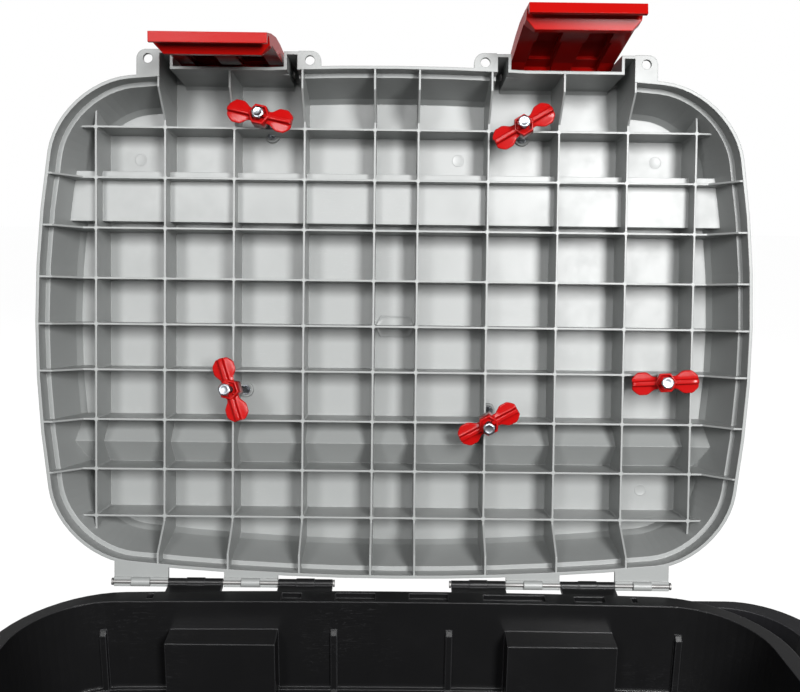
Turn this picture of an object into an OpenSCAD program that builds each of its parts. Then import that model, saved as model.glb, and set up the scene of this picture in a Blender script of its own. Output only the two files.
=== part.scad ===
// Rolling toolbox: a deep moulded tub on two wheels at its left end, with a pull
// handle at its right end and a ribbed lid hinged along the back. Millimetres, Z up,
// X along the box, the front at -Y. The origin is on the floor, in the middle of the
// tub's footprint. The lid is drawn shut and then turned back about its hinge.

/* [Tub] */
// Height of the tub's rim, and of the hinge axis, above the floor
rim_h = 480; // [440:1:520]
// Length of the rim, over its flange
rim_len = 864; // [840:1:890]
// Depth of the rim, front to back, over its flange
rim_dep = 577; // [570:1:585]
// Corner radius of the rim
rim_corner = 105; // [95:1:115]
// Length of the mouth
mouth_len = 826; // [810:1:830]
// Depth of the mouth, front to back
mouth_dep = 529; // [520:1:530]
// Corner radius of the mouth
mouth_corner = 80; // [70:1:85]
// Thickness of the tub's walls
tub_wall = 3.5; // [3:0.1:4]
// Depth of the ledge below the rim
ledge_drop = 109; // [100:1:120]
// Width of the ledge
ledge_step = 5; // [3:0.5:6]
// How far the walls lean in between the rim and the ledge
upper_lean = 4; // [2:0.5:5]
// How far the walls lean in between the ledge and the floor of the tub
lower_lean = 15.5; // [10:0.5:17]
// Thickness of the tub's floor
floor_t = 4; // [3:0.5:6]
// Height of the skid rails under the tub
skid_h = 10; // [6:0.5:14]
// Width of a skid rail
skid_w = 40; // [30:1:50]
// Thickness of the rim's top plate
flange_t = 4; // [3:0.1:4.4]
// Height of the skirt that hangs from the rim
flange_skirt = 30; // [28:0.5:34]

/* [Back and front of the tub] */
// Inner edge of a wall pillar, from the middle of the box
pillar_in = 130; // [125:1:135]
// Outer edge of a wall pillar, from the middle of the box
pillar_out = 253; // [245:1:258]
// Depth of a wall pillar, into the tub
pillar_dep = 32; // [25:0.5:36]
// Drop from the rim to the top of a back pillar
pillar_drop = 35; // [34:0.5:45]
// Drop from the rim to the top of a front latch pocket
pocket_drop = 104; // [100:1:115]
// Height of a front latch pocket
pocket_h = 130; // [110:1:150]
// Depth of a front latch pocket
pocket_dep = 18; // [12:0.5:22]
// Width of a wall ridge
ridge_w = 7; // [5:0.5:9]
// How far a wall ridge stands off the wall
ridge_dep = 5; // [3:0.5:6]

/* [Lid] */
// Angle that the lid is turned back
lid_open = 103.5; // [95:0.5:106]
// Length of the lid
lid_len = 838; // [825:1:850]
// Depth of the lid, front to back
lid_dep = 599; // [596:0.5:599]
// Corner radius of the lid
lid_corner = 80; // [72:1:95]
// Thickness of the lid's walls
lid_wall = 3.5; // [3:0.1:4]
// Gap between the lid's edge and the rim when shut
lid_gap = 1; // [0.6:0.1:1.5]
// Height of the lid's skirt, up to its inner shelf
lid_skirt = 23; // [20:0.5:28]
// Height of the lid above the rim
lid_h = 95.5; // [93:0.5:100]
// Width of the shelf inside the lid
lid_shelf = 5; // [4:0.5:7]
// How far the lid's walls lean in between the shelf and the top
lid_lean = 15; // [12:0.5:18]

/* [Lid ribs] */
// Thickness of a rib
rib_t = 2.3; // [2:0.1:3.4]
// Height of the ribs' edges above the rim
rib_z = 34.8; // [32:0.2:38]
// From the middle of the lid to the first rib that runs front to back
rib_col_0 = 26; // [22:0.5:30]
// Pitch of the next two ribs that run front to back
rib_col = 84; // [83:0.1:84.5]
// Pitch of the last two ribs that run front to back
rib_col_end = 82.4; // [81:0.1:83.5]
// From the middle rib that runs along the lid to the next one
rib_row_0 = 55; // [52:0.5:56]
// Pitch of the other ribs that run along the lid
rib_row = 60; // [59:0.1:60.4]
// Pitch of the last rib at the lid's front
rib_row_front = 60; // [59:0.1:62]
// Pitch of the last rib at the lid's back
rib_row_back = 57; // [56:0.1:62]
// How far the rib grid lies behind the middle of the lid
rib_y = 3; // [0:0.5:5]
// Radius of the post where two ribs cross
rib_post_r = 2.8; // [2.3:0.1:4]
// How far the corner ribs run past the grid
rib_stub = 20; // [12:0.5:22]

/* [Grooves in the top of the lid] */
// Distance of the flat channel in front of the lid's middle
channel_y = 152; // [148:0.5:154]
// Width of the flat channel, over its walls
channel_w = 60.6; // [54:0.2:64]
// Depth of the flat channel
channel_dep = 34; // [28:0.5:36]
// Distance of the vee groove behind the lid's middle
vee_y = 148.5; // [146:0.5:152]
// Depth of the vee groove, which is twice as wide as it is deep
vee_dep = 28.5; // [22:0.5:30]

/* [Hinge] */
// Distance of the hinge axis behind the rim's flange
hinge_back = 17; // [16.5:0.1:18]
// Radius of a hinge knuckle
knuckle_r = 5.5; // [4.6:0.1:5.5]
// Radius of a hinge pin
hinge_pin_r = 2.5; // [2:0.1:2.8]
// From the middle of the box to the first knuckle
knuckle_0 = 70; // [66:0.5:75]
// Pitch of the knuckles
knuckle_pitch = 64.5; // [62:0.1:65]
// Gap between two knuckles
knuckle_gap = 1; // [0.6:0.1:2]

/* [Latches] */
// Distance of a latch from the middle of the box
latch_x = 195.5; // [195:0.5:197]
// Width of a latch
latch_w = 122; // [116:0.5:124]
// Distance from a latch's pivot to its tip
latch_len = 191.5; // [187:0.5:194]
// Width of the latch bay
bay_w = 128; // [127:0.5:130]
// Width of a hollow cheek beside a latch bay
cheek_w = 19; // [17:0.5:20]
// How far a cheek stands out in front of the lid's middle line
cheek_out = 15; // [14:0.5:17]
// Height of the latch pivot above the rim
pivot_z = 66; // [62:0.5:68]
// Radius of a latch pin
latch_pin_r = 3; // [2.5:0.1:3.2]
// Angle of a shut latch, leaning in under the rim
latch_shut = 8; // [7.5:0.1:8.5]
// Angle of the left latch from shut
latch_left_open = 4.7; // [4.5:0.1:12]
// Angle of the right latch from shut
latch_right_open = 15.2; // [10:0.1:40]

/* [Padlock eyes] */
// Radius of a padlock eye
eye_r = 5.5; // [4.5:0.1:6]
// Distance of the inner eyes from the middle of the box
eye_x_in = 101.5; // [100:0.5:103]
// Distance of the outer eyes from the middle of the box
eye_x_out = 288.5; // [287:0.5:290]
// Distance of the eyes in front of the lid's middle
eye_y = 304.8; // [303:0.1:306]
// Width of an eye tab
eye_tab_w = 26; // [24:0.5:27]
// Thickness of an eye tab
eye_tab_t = 5; // [4:0.1:6]

/* [Wing knobs] */
// Radius of a bolt's shank
bolt_r = 4; // [3.5:0.1:4.2]
// Width of a bolt's head across its flats
bolt_af = 13; // [12:0.5:14]
// How far a bolt's head stands below the rim when the lid is shut
bolt_drop = 10; // [6:0.5:14]
// How far a bolt's end stands out of the lid's top
stud_len = 14; // [8:0.5:20]
// Length of a wing knob
knob_len = 77; // [70:0.5:84]
// Width of a knob's wing
knob_w = 27.5; // [22:0.5:30]

/* [Wheels] */
// Radius of a wheel
wheel_r = 80; // [76:0.5:81]
// Thickness of a tyre
tyre_t = 22; // [16:0.5:26]
// Clearance round a wheel in its arch
arch_gap = 7; // [5:0.5:8]
// Width of a wheel
wheel_w = 46; // [40:0.5:48]
// Distance of the axle from the left end of the rim
axle_in = 87; // [84:0.5:88]
// Radius of the axle
axle_r = 8; // [7:0.1:9]
// Distance from the middle of the box to a wheel's inner face
wheel_y = 198; // [196:0.5:199]

/* [Pull handle] */
// How far the handle stands out past the right end of the rim
handle_out = 54; // [50:1:66]
// Width of the handle's grip bar
grip_w = 26; // [22:0.5:30]
// Height of the handle's grip bar
grip_h = 29.5; // [27:0.5:31]
// Distance of the handle's outer side from the middle of the box
handle_y = 281; // [280:0.2:281.4]
// Width of the handle's side legs
leg_w = 14; // [13:0.2:15]
// Thickness of a sliding arm
arm_t = 8; // [6:0.2:8.4]
// Height of a sliding arm
arm_h = 20; // [16:0.5:22]
// Length of a sliding arm
arm_len = 420; // [400:1:440]

/* [Hidden] */

$fn = 48;
eps = 0.1;
far = 500;            // beyond any wall, for a cut that runs out of the box
run_gap = 0.05;       // radial clearance of a pin or an axle
slide_gap = 0.4;      // clearance round a sliding arm
bow_end = 29;         // bow of the lid's ends
bow_long = 23;        // bow of the lid's front and back edges
rim_bow = [20, 12];   // bow of the rim, at its ends and along its sides
mouth_bow = [18, 6];  // bow of the mouth
sole_round = 14;      // size of the edge round the tub's underside

hinge_y = rim_dep / 2 + hinge_back;
axle_x = rim_len / 2 - axle_in;
handle_reach = rim_len / 2 + handle_out;
skid_end = rim_len / 2 - 57;   // right end of the skid rails
hub_r = 18;
knuckle_bare = 21;    // length of pin that shows at each end of a lid knuckle
rim_r = wheel_r - tyre_t;
floor_z = skid_h + floor_t;
ledge_z = rim_h - ledge_drop;
bay_wall_y = 292.5;   // inner face of the wall behind a latch
bay_back = 250;       // where the walls of a latch bay run into the dome
catch_y = 277.5;      // front of the bar that a latch hooks under
pivot_y = 304;        // latch pivot, in front of the lid's middle

// Wing knobs, seen with the lid shut: where the bolt meets the lid's skin, the turn of
// the wings, how far the bolt's head hangs off to the right and to the back, and how
// high the knob's collar stands above the rim
knobs = [[-155.1, -232.7, 12.6, -5.5, -10.4, -2], [156.9, -232.9, -30.7, -10.7, -3.2, 8],
         [-185.9, 85.3, 70.8, -11.8, -8.3, 8], [118.5, 108, -29.3, -7.4, 12.3, 8],
         [333.5, 70, -4.1, -15.1, -6.2, 8]];

// Corner of a bowed outline: a quarter circle about [cx, cy]
function corner(cx, cy, r, a0, n = 12) =
    [for (i = [0 : n]) [cx + r * cos(a0 + 90 * i / n), cy + r * sin(a0 + 90 * i / n)]];
// Points between two ends, both left out
function between(p, q, n) = [for (i = [1 : n - 1]) p + (q - p) * i / n];
// Pushes a point of a rounded rectangle outwards, most at the middle of each side
function bowed(p, h, b) =
    [p.x + sign(p.x) * b.x * (1 - pow(p.y / h.y, 2)),
     p.y + sign(p.y) * b.y * (1 - pow(p.x / h.x, 2))];
// Outline of the given size with rounded corners and sides that bow out by b
function outline(len, dep, r, b) =
    let (h = [len / 2 - b.x, dep / 2 - b.y], c = h - [r, r],
         ne = corner(c.x, c.y, r, 0), nw = corner(-c.x, c.y, r, 90),
         sw = corner(-c.x, -c.y, r, 180), se = corner(c.x, -c.y, r, 270))
    [for (p = concat(ne, between(ne[12], nw[0], 10), nw, between(nw[12], sw[0], 6),
                     sw, between(sw[12], se[0], 10), se, between(se[12], ne[0], 6)))
        bowed(p, h, b)];
// Outlines of the rim, the mouth and the lid, drawn in by t all round
function rim_line(t) =
    outline(rim_len - 2 * t, rim_dep - 2 * t, rim_corner - t, rim_bow);
function mouth_line(t) =
    outline(mouth_len - 2 * t, mouth_dep - 2 * t, mouth_corner - t, mouth_bow);
function lid_line(t) =
    outline(lid_len - 2 * t, lid_dep - 2 * t, lid_corner - t, [bow_end, bow_long]);
// Inner face of the tub's long walls at height z
function wall_y(z) = mouth_dep / 2
    - (z > ledge_z ? upper_lean * (rim_h - z) / ledge_drop
       : upper_lean + ledge_step + lower_lean * (ledge_z - z) / (ledge_z - floor_z));
// Place of a rib that runs along the lid, and of one that runs front to back
function row_y(i) = i == 0 ? rib_y : rib_y + sign(i) * (rib_row_0
    + rib_row * (min(abs(i), 3) - 1) + (i == 4 ? rib_row_back : i == -4 ? rib_row_front : 0));
function col_x(i) = rib_col_0 + rib_col * min(i - 1, 2) + rib_col_end * max(i - 3, 0);

// How far the long side of such an outline lies from the middle at x
function side_y(x, len, dep, r, b) =
    let (h = [len / 2 - b.x, dep / 2 - b.y], over = max(abs(x) - h.x + r, 0))
    h.y - r + sqrt(max(r * r - over * over, 0)) + b.y * (1 - pow(x / h.x, 2));
function rim_side(x) = side_y(x, rim_len, rim_dep, rim_corner, rim_bow);
function mouth_side(x) = side_y(x, mouth_len, mouth_dep, mouth_corner, mouth_bow);
function lid_side(x) = side_y(x, lid_len, lid_dep, lid_corner, [bow_end, bow_long]);

// A thin slice of an outline, as one level of a moulded form
module level(z, line, t = eps) translate([0, 0, z]) linear_extrude(t) polygon(line);
// A profile in Y and Z, run along X
module along_x(x0, x1, profile)
    translate([x0, 0, 0]) rotate([90, 0, 90]) linear_extrude(x1 - x0) polygon(profile);
// A profile in X and Z, run along Y
module along_y(y0, y1, profile)
    translate([0, y1, 0]) rotate([90, 0, 0]) linear_extrude(y1 - y0) polygon(profile);
module rod_x(x0, x1, r) translate([x0, 0, 0]) rotate([0, 90, 0]) cylinder(h = x1 - x0, r = r);
module rod_y(y0, y1, r) translate([0, y0, 0]) rotate([-90, 0, 0]) cylinder(h = y1 - y0, r = r);
module block(lo, hi) translate(lo) cube(hi - lo);
module both_sides() { children(); mirror([1, 0, 0]) children(); }
module both_walls() { children(); mirror([0, 1, 0]) children(); }
// Places what is drawn on the shut lid, with Z from the rim, on the open one
module on_lid()
    translate([0, hinge_y, rim_h]) rotate([-lid_open, 0, 0]) translate([0, -hinge_y, 0])
        children();

// The tub's outer or inner form: the wall grows outwards by g
module tub_form(g, top) {
    hull() {
        level(rim_h - eps, mouth_line(-g), top);
        level(ledge_z - g, mouth_line(upper_lean - g));
    }
    hull() {
        level(ledge_z - g, mouth_line(upper_lean + ledge_step - g));
        level(floor_z - g + sole_round,
              mouth_line(upper_lean + ledge_step + lower_lean - g));
        level(floor_z - (g > 0 ? floor_t : 0),
              mouth_line(upper_lean + ledge_step + lower_lean + sole_round / 2 - g));
    }
}

// A back pillar, thinned by t all round to cut its outside hollow
module pillar(t)
    along_x(pillar_in + t, pillar_out - t,
        [[wall_y(rim_h - pillar_drop) - pillar_dep + t, rim_h - pillar_drop - t],
         [far, rim_h - pillar_drop - t], [far, -t],
         [wall_y(floor_z) - pillar_dep + t, -t]]);

// A front pocket behind the tip of a latch, thinned in the same way
module latch_pocket(t)
    along_x(pillar_in + t, pillar_out - t,
        [[-wall_y(rim_h - pocket_drop) + pocket_dep - t, rim_h - pocket_drop - t],
         [-far, rim_h - pocket_drop - t], [-far, rim_h - pocket_drop - pocket_h + t],
         [-wall_y(rim_h - pocket_drop - pocket_h) + t, rim_h - pocket_drop - pocket_h + t],
         [-wall_y(rim_h - pocket_drop) + pocket_dep - t,
          rim_h - pocket_drop - pocket_h + pocket_dep + t]]);

// A ridge that stiffens a long wall, from below the rim to the floor
module wall_ridge(x) {
    dep = ridge_dep + mouth_side(0) - mouth_side(x + ridge_w / 2);
    along_x(x - ridge_w / 2, x + ridge_w / 2,
        [[far, rim_h - pillar_drop],
         [wall_y(rim_h - pillar_drop) - dep + ridge_dep - 1, rim_h - pillar_drop],
         [wall_y(rim_h - pillar_drop) - dep, rim_h - pillar_drop - ridge_dep],
         [wall_y(ledge_z + 1) - dep, ledge_z],
         [wall_y(ledge_z - 1) - dep, ledge_z - ledge_step],
         [wall_y(floor_z) - dep, 0], [far, 0]]);
}

// The arch over a wheel, grown by t to make its wall
module wheel_arch(t) {
    r = wheel_r + arch_gap + t;
    translate([-axle_x, 0, wheel_r]) rod_y(wheel_y - 5 - t, far, r);
    block([-axle_x - r, wheel_y - 5 - t, -1], [-axle_x + r, far, wheel_r]);
}

// The tunnel that the axle crosses the box in, grown by t to make its wall
module axle_tunnel(t)
    block([-axle_x - 2 * axle_r - t, -wheel_y + 20 - 5 * t, -1],
          [-axle_x + 2 * axle_r + t, wheel_y - 20 + 5 * t, wheel_r + 12 + t]);

// Openings in the back of the rim's top plate: left edge and width of each
flange_pockets = [[-280, 7], [-127, 23], [-65, 46], [20, 45], [105.5, 71], [210, 35],
                  [276, 6]];

pocket_sink = 7;         // depth of these openings, above the sliding arms
pocket_floor = 1.5;
function pocket_back(p) = min(rim_side(p[0]), rim_side(p[0] + p[1])) - tub_wall - 0.5;

// The pull handle's bar, drawn in by t all round, as an outline
module handle_shape(t) {
    difference() {
        polygon(outline(2 * handle_reach - 2 * t, 2 * handle_y - 2 * t, 75 - t, [24, 0]));
        polygon(outline(2 * (handle_reach - grip_w) + 2 * t, 2 * (handle_y - leg_w) + 2 * t,
                        62 + t, [24, 0]));
        translate([handle_leg_x + t - 2 * far, -far]) square([2 * far, 2 * far]);
    }
}
handle_leg_x = handle_reach - 151;   // where the handle's moulded legs begin
grip_top = rim_h - flange_t - 0.5;   // top of the handle's bar, under the rim's plate
arm_end = handle_leg_x + 48;         // right end of a sliding arm, inside its leg
rivet_x = handle_leg_x + 24;
arm_y = handle_y - leg_w / 2;        // middle of a sliding arm
arm_z = grip_top - grip_h / 2;       // middle height of a sliding arm

// Guides that the arms slide in, under the rim: left end of each
guides = [handle_leg_x - 275, handle_leg_x - 83, handle_leg_x - 33];
guide_w = 28;

module tub_knuckle(x0, x1) {
    translate([0, hinge_y, rim_h]) {
        rod_x(x0, x1, knuckle_r - 0.8);
        rod_x(x0 + (x1 - x0) / 3, x1 - (x1 - x0) / 3, knuckle_r);
    }
    block([x0, rim_side(x1) - 12, rim_h - 6], [x1, hinge_y, rim_h - 0.8]);
}

// A padlock eye's tab, with its rounded corner away from the latch
module eye_tab(x, side, y0, z0) {
    r = 11;
    translate([0, 0, z0]) linear_extrude(eye_tab_t) {
        translate([x - eye_tab_w / 2, -eye_y + r - 10.5])
            square([eye_tab_w, eye_y - r + 10.5 - y0]);
        translate([x - eye_tab_w / 2 + (side > 0 ? 0 : r), -eye_y - 10.5])
            square([eye_tab_w - r, r]);
        translate([x + side * (eye_tab_w / 2 - r), -eye_y - 10.5 + r]) circle(r);
    }
}

module tub() color([0.10, 0.10, 0.11]) difference() {
    union() {
        tub_form(tub_wall, eps);
        level(rim_h - flange_t, rim_line(0), flange_t);
        translate([0, 0, rim_h - flange_skirt]) linear_extrude(flange_skirt) difference() {
            polygon(rim_line(0));
            polygon(rim_line(tub_wall));
        }
        both_sides() {
            tub_knuckle(knuckle_0, knuckle_0 + knuckle_pitch - knuckle_gap);
            tub_knuckle(knuckle_0 + 2 * knuckle_pitch,
                        knuckle_0 + 3 * knuckle_pitch - knuckle_gap);
            eye_tab(eye_x_in, -1, rim_side(eye_x_in + eye_tab_w / 2) - 8,
                    rim_h - eye_tab_t - 1);
            eye_tab(eye_x_out, 1, rim_side(eye_x_out + eye_tab_w / 2) - 8,
                    rim_h - eye_tab_t - 1);
            // The bar that the latch hooks under
            along_x(latch_x - latch_w / 2 + 5, latch_x + latch_w / 2 - 5,
                [[-wall_y(rim_h), rim_h - 50], [-catch_y, rim_h - 60],
                 [-catch_y, rim_h - 85], [-wall_y(rim_h - 85), rim_h - 85]]);
        }
        // Floors of the openings in the back of the rim
        for (p = flange_pockets)
            block([p[0] - 2, wall_y(rim_h) + 1, rim_h - pocket_sink - pocket_floor],
                  [p[0] + p[1] + 2, pocket_back(p) + 2, rim_h - 1]);
        both_walls() for (x = guides)
            block([x, wall_y(rim_h), arm_z - arm_h / 2 - 4],
                  [x + guide_w, arm_y + arm_t / 2 + slide_gap + 2.2, rim_h - 1]);
        for (y = [-170, 0, 170])
            block([-axle_x + wheel_r + 30, y - skid_w / 2, 0], [skid_end, y + skid_w / 2, floor_z]);
    }
    // The inside, less what stands into it
    difference() {
        tub_form(0, 2);
        both_sides() {
            pillar(0);
            latch_pocket(0);
            both_walls() { wall_ridge(66); wall_ridge(328); }
        }
        both_walls() wheel_arch(tub_wall);
        axle_tunnel(tub_wall);
    }
    both_sides() { pillar(tub_wall); latch_pocket(tub_wall); }
    both_walls() wheel_arch(0);
    axle_tunnel(0);
    for (p = flange_pockets)
        block([p[0], wall_y(rim_h) + tub_wall + 0.5, rim_h - pocket_sink],
              [p[0] + p[1], pocket_back(p), rim_h + 1]);
    // Way for the handle through the rim's skirt, and for the arms through their guides
    translate([0, 0, grip_top - grip_h - 2]) linear_extrude(grip_h + 2.3) handle_shape(-1.5);
    both_walls()
        block([guides[0] - 1, arm_y - arm_t / 2 - slide_gap, arm_z - arm_h / 2 - slide_gap],
              [far, arm_y + arm_t / 2 + slide_gap, arm_z + arm_h / 2 + slide_gap]);
    both_sides() {
        translate([0, hinge_y, rim_h]) rod_x(knuckle_0 - 1, far, hinge_pin_r + run_gap);
        for (x = [eye_x_in, eye_x_out])
            translate([x, -eye_y, rim_h - 20]) cylinder(h = 40, r = eye_r);
    }
    translate([-axle_x, 0, wheel_r]) rod_y(-wheel_y, wheel_y, axle_r + run_gap);
}

module axle() color("silver") translate([-axle_x, 0, wheel_r]) {
    rod_y(-wheel_y - wheel_w - 4, wheel_y + wheel_w + 4, axle_r);
}

module hub_caps() color("silver") translate([-axle_x, 0, wheel_r]) both_walls() {
    translate([0, wheel_y + wheel_w + 0.5, 0]) difference() {
        union() { rod_y(0, 2, 15); rod_y(0, 6, 12); }
        rod_y(-1, 4, axle_r + run_gap);
    }
}

// A moulded wheel centre: hub, dished web with round windows, and rim
module wheel_rim() color([0.32, 0.33, 0.35])
    translate([-axle_x, wheel_y, wheel_r]) rotate([-90, 0, 0]) difference() {
        bead_r = rim_r - 8;
        window_r = (bead_r - hub_r) / 2 - 5;
        rotate_extrude() polygon([
            [axle_r + run_gap, 1], [hub_r, 1], [hub_r, 16], [bead_r, 19], [bead_r, 6],
            [rim_r, 4], [rim_r, wheel_w - 4], [bead_r, wheel_w - 6],
            [bead_r, wheel_w - 19], [hub_r, wheel_w - 16], [hub_r, wheel_w],
            [axle_r + run_gap, wheel_w]]);
        for (a = [0 : 60 : 300])
            rotate([0, 0, a]) translate([(bead_r + hub_r) / 2, 0, -1])
                cylinder(h = wheel_w + 2, r = window_r);
    }

// A tyre with a rounded tread and two grooves
module tyre() color([0.08, 0.08, 0.08])
    translate([-axle_x, wheel_y, wheel_r]) rotate([-90, 0, 0]) rotate_extrude() polygon([
        [rim_r, 4], [rim_r + 8, 2], [wheel_r - 6, 2], [wheel_r - 2, 4], [wheel_r, 8],
        [wheel_r, wheel_w / 3 - 1.5], [wheel_r - 3, wheel_w / 3 - 1],
        [wheel_r - 3, wheel_w / 3 + 1], [wheel_r, wheel_w / 3 + 1.5],
        [wheel_r, wheel_w * 2 / 3 - 1.5], [wheel_r - 3, wheel_w * 2 / 3 - 1],
        [wheel_r - 3, wheel_w * 2 / 3 + 1], [wheel_r, wheel_w * 2 / 3 + 1.5],
        [wheel_r, wheel_w - 8], [wheel_r - 2, wheel_w - 4], [wheel_r - 6, wheel_w - 2],
        [rim_r + 8, wheel_w - 2], [rim_r, wheel_w - 4]]);

module hinge_pin() color("silver") translate([0, hinge_y, rim_h]) {
    rod_x(knuckle_0 - 1, knuckle_0 + 4 * knuckle_pitch, hinge_pin_r);
    rod_x(knuckle_0 - 2.5, knuckle_0 - 0.5, hinge_pin_r + 1.7);
    rod_x(knuckle_0 + 4 * knuckle_pitch - 0.5, knuckle_0 + 4 * knuckle_pitch + 1.5,
          hinge_pin_r + 1.7);
}

module handle_grip() color([0.12, 0.12, 0.13]) difference() {
    translate([0, 0, grip_top - grip_h]) linear_extrude(grip_h) handle_shape(0);
    // Hollow under the grip bar, and the finger flute along its inner face
    translate([0, 0, grip_top - grip_h - 1]) linear_extrude(grip_h - 9) intersection() {
        handle_shape(4.5);
        translate([handle_reach - 66, -handle_y + 81]) square([66, 2 * handle_y - 162]);
    }
    both_walls() {
        block([0, arm_y - arm_t / 2 - run_gap, arm_z - arm_h / 2 - run_gap],
              [arm_end, arm_y + arm_t / 2 + run_gap, arm_z + arm_h / 2 + run_gap]);
        translate([rivet_x, 0, arm_z]) rod_y(arm_y - 20, arm_y + 20, 2.5 + run_gap);
    }
}

module handle_arm() color([0.25, 0.25, 0.27]) difference() {
    block([arm_end - arm_len, arm_y - arm_t / 2, arm_z - arm_h / 2],
          [arm_end, arm_y + arm_t / 2, arm_z + arm_h / 2]);
    translate([rivet_x, 0, arm_z]) rod_y(arm_y - 20, arm_y + 20, 2.5 + run_gap);
}

module handle_rivets() color("silver") both_walls() translate([rivet_x, 0, arm_z]) {
    rod_y(arm_y - leg_w / 2 - 0.8, arm_y + leg_w / 2 + 0.8, 2.5);
    rod_y(arm_y - leg_w / 2 - 1.4, arm_y - leg_w / 2 - 0.05, 4.5);
    rod_y(arm_y + leg_w / 2 + 0.05, arm_y + leg_w / 2 + 1.4, 4.5);
}

// Bolt, knob and ring share one axis; Z is measured along it, from the rim
head_h = 5.5;
ring_r = 6;
ring_drop = 8;        // retaining ring, below the lid's skin
boss_r = 9;
boss_h = 5;
hub_h = 21;
wing_t = 4;
wing_z = 8;           // from a knob's collar to its wings
skin_z = lid_h - lid_wall;
module along_bolt(k) translate([k[0], k[1], skin_z])
    rotate([atan2(k[4], skin_z + bolt_drop), -atan2(k[3], skin_z + bolt_drop), 0])
        translate([0, 0, -skin_z]) children();
module at_knob(k) on_lid() along_bolt(k) rotate([0, 0, k[2]]) children();

// The lid's domed top, outside and inside
module dome_out() hull() {
    level(lid_skirt, lid_line(lid_shelf));
    level(lid_h - 14, lid_line(lid_shelf + lid_lean - 4));
    level(lid_h - 4, lid_line(lid_shelf + lid_lean + 1));
    level(lid_h - eps, lid_line(lid_shelf + lid_lean + 10));
}
module dome_in() hull() {
    level(lid_skirt - 1, lid_line(lid_shelf + lid_wall));
    level(lid_h - lid_wall - 10, lid_line(lid_shelf + lid_wall + lid_lean - 3));
    level(lid_h - lid_wall - eps, lid_line(lid_shelf + lid_wall + lid_lean + 2));
}

// The wall round a latch bay: two hollow cheeks and the wall between them
bay_in = latch_x - bay_w / 2;
bay_out = latch_x + bay_w / 2;
cheek_y = lid_dep / 2 + cheek_out;
module bay_solid() {
    for (x = [bay_in - cheek_w, bay_out])
        along_x(x, x + cheek_w,
            [[-cheek_y, lid_gap], [-bay_back - 20, lid_gap], [-bay_back, lid_skirt],
             [-bay_back, lid_h], [-cheek_y + 13, lid_h], [-cheek_y, lid_h - 13]]);
    along_x(bay_in - eps, bay_out + eps,
        [[-bay_wall_y - lid_wall, lid_gap], [-bay_back - 20, lid_gap], [-bay_back, lid_skirt],
         [-bay_back, lid_h], [-bay_wall_y + 2, lid_h], [-bay_wall_y - lid_wall, lid_h - 5.5]]);
}
module bay_hollow() {
    for (x = [bay_in - cheek_w, bay_out])
        along_x(x + lid_wall, x + cheek_w - lid_wall,
            [[-cheek_y + lid_wall, 0], [-bay_back, 0], [-bay_back, lid_h - lid_wall],
             [-cheek_y + 14.5, lid_h - lid_wall], [-cheek_y + lid_wall, lid_h - 14.5]]);
    along_x(bay_in - cheek_w + lid_wall, bay_out + cheek_w - lid_wall,
        [[-bay_wall_y, 0], [-bay_back, 0], [-bay_back, lid_h - lid_wall],
         [-bay_wall_y + 4, lid_h - lid_wall], [-bay_wall_y, lid_h - lid_wall - 4]]);
}

// Channel and vee groove, which run out at both ends, grown by t to make their walls
module flat_channel(t)
    block([-lid_len, -channel_y - channel_w / 2 + lid_wall - t, lid_h - channel_dep - t],
          [lid_len, -channel_y + channel_w / 2 - lid_wall + t, lid_h + 1]);
module vee_groove(t)
    along_x(-lid_len, lid_len,
        [[vee_y, lid_h - vee_dep - t * sqrt(2)],
         [vee_y + vee_dep + 2 + t * (sqrt(2) - 1), lid_h + 2 - t],
         [vee_y - vee_dep - 2 - t * (sqrt(2) - 1), lid_h + 2 - t]]);

// Profile of a rib whose ends rise to the lid's edge: half its length, half its flat
// stretch, and half the length between the tops of the slopes
function rib_profile(h, flat, top) =
    [[-h, lid_h], [-h, lid_gap + 0.5], [-top, lid_gap + 0.5], [-flat, rib_z], [flat, rib_z],
     [top, lid_gap + 0.5], [h, lid_gap + 0.5], [h, lid_h]];
// Profile of a corner rib: its ends are short stubs
function stub_profile(lo, hi) =
    [[lo - rib_stub, lid_h], [lo - rib_stub, rib_z + 2], [lo - 4, rib_z], [hi + 4, rib_z],
     [hi + rib_stub, rib_z + 2], [hi + rib_stub, lid_h]];

module lid_ribs() {
    for (i = [1 : 4]) both_sides()
        along_x(col_x(i) - rib_t / 2, col_x(i) + rib_t / 2,
                rib_profile(lid_dep / 2, lid_dep / 2 - 59, lid_dep / 2 - 27));
    for (i = [-3 : 3])
        along_y(row_y(i) - rib_t / 2, row_y(i) + rib_t / 2,
                rib_profile(lid_len / 2, lid_len / 2 - 45, lid_len / 2 - 19));
    both_sides()
        along_x(col_x(5) - rib_t / 2, col_x(5) + rib_t / 2, stub_profile(row_y(-4), row_y(4)));
    for (i = [-4, 4])
        along_y(row_y(i) - rib_t / 2, row_y(i) + rib_t / 2, stub_profile(-col_x(5), col_x(5)));
    for (i = [-4 : 4], j = [1 : 5]) both_sides()
        translate([col_x(j), row_y(i), rib_z])
            cylinder(h = lid_h - rib_z, r = rib_post_r, $fn = 8);
    // A low boss round each bolt
    for (k = knobs) along_bolt(k) translate([0, 0, skin_z - boss_h]) cylinder(h = boss_h + 2, r = boss_r);
}

module lid_knuckle(x0, x1) {
    translate([0, hinge_y, 0]) rod_x(x0, x1, knuckle_r);
    block([x0, lid_side(x1) - lid_wall, lid_gap], [x1, hinge_y, knuckle_r]);
}

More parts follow.
